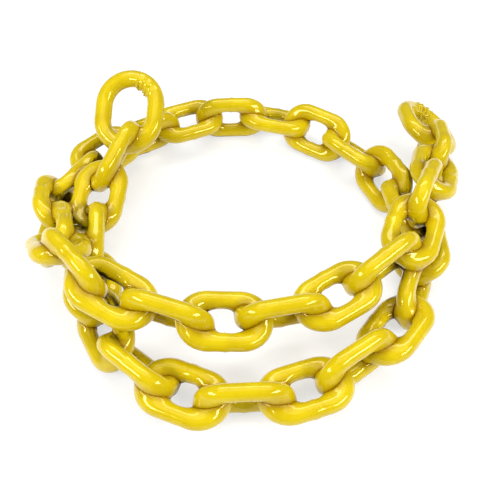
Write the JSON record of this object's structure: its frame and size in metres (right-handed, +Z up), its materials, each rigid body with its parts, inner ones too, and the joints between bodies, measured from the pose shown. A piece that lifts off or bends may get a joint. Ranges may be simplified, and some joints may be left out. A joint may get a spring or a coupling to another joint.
{
  "type": "coil of steel chain",
  "caption": "Welded short-link steel chain in a thick, glossy yellow coat, with a larger oval link at each end, laid in a loose coil.",
  "frame": {"origin": "on the floor, under the middle of the coil's outer size", "axes": "+Z up; +X to the right along the coil's longest side; the front strands are at -Y and the two end links at the back"},
  "size_m": [0.3124, 0.2874, 0.0745],
  "materials": {
    "link_paint": "thick, glossy yellow dip coat over steel",
    "end_link_paint": "thick, glossy yellow dip coat over steel"
  },
  "bodies": {
    "root": {"end_link_left": "end_link_paint", "link_01": "link_paint", "link_02": "link_paint", "link_03": "link_paint", "link_04": "link_paint", "link_05": "link_paint", "link_06": "link_paint", "link_07": "link_paint", "link_08": "link_paint", "link_09": "link_paint", "link_10": "link_paint", "link_11": "link_paint", "link_12": "link_paint", "link_13": "link_paint", "link_14": "link_paint", "link_15": "link_paint", "link_16": "link_paint", "link_17": "link_paint", "link_18": "link_paint", "link_19": "link_paint", "link_20": "link_paint", "link_21": "link_paint", "link_22": "link_paint", "link_23": "link_paint", "link_24": "link_paint", "link_25": "link_paint", "link_26": "link_paint", "link_27": "link_paint", "link_28": "link_paint", "link_29": "link_paint", "link_30": "link_paint", "link_31": "link_paint", "link_32": "link_paint", "link_33": "link_paint", "link_34": "link_paint", "link_35": "link_paint", "link_36": "link_paint", "link_37": "link_paint", "end_link_right": "end_link_paint"}
  },
  "joints": []
}
